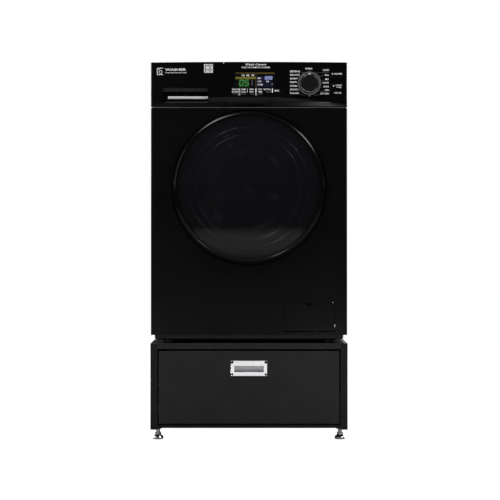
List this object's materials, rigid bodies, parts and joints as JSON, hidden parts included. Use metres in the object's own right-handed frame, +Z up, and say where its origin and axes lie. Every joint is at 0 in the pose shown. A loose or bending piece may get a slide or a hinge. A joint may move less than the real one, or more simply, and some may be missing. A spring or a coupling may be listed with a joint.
{
  "type": "front load washing machine",
  "caption": "Black front load washing machine with round smoked door, control panel with dial and display, standing on a drawer pedestal with bright flush pull and levelling feet.",
  "frame": {"origin": "on the floor, under the middle of the whole object", "axes": "+Z up, -Y towards the front with the door, +X to the right seen from the front"},
  "size_m": [0.597, 0.591, 1.142],
  "materials": {
    "cabinet_black": "gloss",
    "pedestal_grey": "satin",
    "zinc_steel": "satin",
    "drum_steel": "satin",
    "bright_chrome": "polished",
    "gloss_black": "gloss",
    "matte_black": "matte",
    "grey_plastic": "matte",
    "tray_plastic": "matte",
    "smoked_window": "gloss",
    "clear_glass": "gloss",
    "grey_rubber": "matte",
    "black_rubber": "matte",
    "ballast": "rough",
    "cast_alloy": "satin",
    "motor_steel": "satin"
  },
  "bodies": {
    "cabinet": {"pedestal_shell": "pedestal_grey", "pedestal_top": "pedestal_grey", "pedestal_base_frame": "pedestal_grey", "slide_outer_rails": "zinc_steel", "base_pan": "matte_black", "washer_feet": "matte_black", "cabinet_wrap": "cabinet_black", "rear_cover": "zinc_steel", "front_panel": "cabinet_black", "worktop": "gloss_black", "control_fascia": "gloss_black", "display_window": "smoked_window", "control_unit": "matte_black", "fascia_trim": "bright_chrome", "dial_ring": "bright_chrome", "pocket_trim": "bright_chrome", "dispenser_housing": "grey_plastic", "rear_fittings": "grey_plastic", "hinge_bracket": "zinc_steel", "door_lock": "matte_black", "door_gasket": "grey_rubber", "drain_pump": "grey_plastic", "damper_cylinders": "zinc_steel", "suspension_springs": "zinc_steel", "tub_hoses": "black_rubber"},
    "door": {"door_frame": "gloss_black", "door_cover": "smoked_window", "door_glass": "clear_glass", "door_ring": "matte_black", "door_hinge_arm": "cast_alloy"},
    "latch": {"latch_hook": "zinc_steel"},
    "detergent_drawer": {"detergent_drawer_front": "gloss_black", "detergent_tray": "tray_plastic"},
    "dial": {"program_dial": "gloss_black"},
    "power_key": {"power_button": "gloss_black"},
    "start_key": {"start_button": "gloss_black"},
    "tub": {"tub_front": "grey_plastic", "tub_rear": "grey_plastic", "upper_weight": "ballast", "front_weight": "ballast", "drive_belt": "black_rubber", "motor_housing": "motor_steel", "damper_rods": "zinc_steel"},
    "drum_unit": {"drum": "drum_steel", "drum_lifters": "grey_plastic", "drum_spider": "cast_alloy", "drum_pulley": "cast_alloy"},
    "rotor": {"motor_rotor": "motor_steel"},
    "flap": {"filter_flap": "gloss_black"},
    "filter": {"filter_cap": "matte_black"},
    "storage_drawer": {"storage_drawer_front": "pedestal_grey", "storage_drawer_tray": "zinc_steel", "flush_pull": "bright_chrome", "slide_inner_rails": "zinc_steel"},
    "slide_members": {"slide_middle_rails": "zinc_steel"},
    "foot_front_left": {"pedestal_foot_front_left": "bright_chrome"},
    "foot_front_right": {"pedestal_foot_front_right": "bright_chrome"},
    "foot_rear_left": {"pedestal_foot_rear_left": "bright_chrome"},
    "foot_rear_right": {"pedestal_foot_rear_right": "bright_chrome"}
  },
  "joints": [
    {"name": "door_hinge", "type": "hinge", "parent": "cabinet", "child": "door", "pos_m": [-0.222, -0.254, 0.763], "axis": [0, 0, -1], "range_deg": [0, 105]},
    {"name": "latch_pivot", "type": "hinge", "parent": "door", "child": "latch", "pos_m": [0.19, -0.249, 0.763], "axis": [0, 0, 1], "range_deg": [0, 8], "stiffness_Nm_per_rad": 0.4, "springref_deg": -8.59},
    {"name": "detergent_drawer_slide", "type": "slide", "parent": "cabinet", "child": "detergent_drawer", "axis": [0, -1, 0], "range_m": [0, 0.2]},
    {"name": "dial_turn", "type": "hinge", "parent": "cabinet", "child": "dial", "pos_m": [0.1823, -0.26, 1.0775], "axis": [0, -1, 0], "continuous": true},
    {"name": "power_press", "type": "slide", "parent": "cabinet", "child": "power_key", "axis": [0, 1, 0], "range_m": [0, 0.0025], "stiffness_N_per_m": 600, "springref_m": -0.001},
    {"name": "start_press", "type": "slide", "parent": "cabinet", "child": "start_key", "axis": [0, 1, 0], "range_m": [0, 0.0025], "stiffness_N_per_m": 600, "springref_m": -0.001},
    {"name": "tub_suspension", "type": "slide", "parent": "cabinet", "child": "tub", "axis": [0, 0, 1], "range_m": [-0.008, 0.008], "stiffness_N_per_m": 20000, "springref_m": 0.01668, "deforming": ["suspension_springs", "door_gasket", "tub_hoses"]},
    {"name": "drum_spin", "type": "hinge", "parent": "tub", "child": "drum_unit", "pos_m": [0, 0, 0.763], "axis": [0, -1, 0], "continuous": true},
    {"name": "rotor_spin", "type": "hinge", "parent": "tub", "child": "rotor", "pos_m": [0.06, 0.12, 0.425], "axis": [0, -1, 0], "continuous": true},
    {"name": "flap_hinge", "type": "hinge", "parent": "cabinet", "child": "flap", "pos_m": [0.184, -0.24, 0.332], "axis": [1, 0, 0], "range_deg": [0, 80]},
    {"name": "filter_turn", "type": "hinge", "parent": "cabinet", "child": "filter", "pos_m": [0.184, -0.236, 0.368], "axis": [0, -1, 0], "range_deg": [0, 100]},
    {"name": "storage_drawer_slide", "type": "slide", "parent": "cabinet", "child": "storage_drawer", "axis": [0, -1, 0], "range_m": [0, 0.4]},
    {"name": "slide_members_slide", "type": "slide", "parent": "cabinet", "child": "slide_members", "axis": [0, -1, 0], "range_m": [0, 0.2]},
    {"name": "foot_front_left_screw", "type": "slide", "parent": "cabinet", "child": "foot_front_left", "axis": [0, 0, -1], "range_m": [0, 0.01]},
    {"name": "foot_front_right_screw", "type": "slide", "parent": "cabinet", "child": "foot_front_right", "axis": [0, 0, -1], "range_m": [0, 0.01]},
    {"name": "foot_rear_left_screw", "type": "slide", "parent": "cabinet", "child": "foot_rear_left", "axis": [0, 0, -1], "range_m": [0, 0.01]},
    {"name": "foot_rear_right_screw", "type": "slide", "parent": "cabinet", "child": "foot_rear_right", "axis": [0, 0, -1], "range_m": [0, 0.01]}
  ],
  "couplings": [
    {"joint": "rotor_spin", "follows": "drum_spin", "ratio": 12},
    {"joint": "slide_members_slide", "follows": "storage_drawer_slide", "ratio": 0.5}
  ]
}
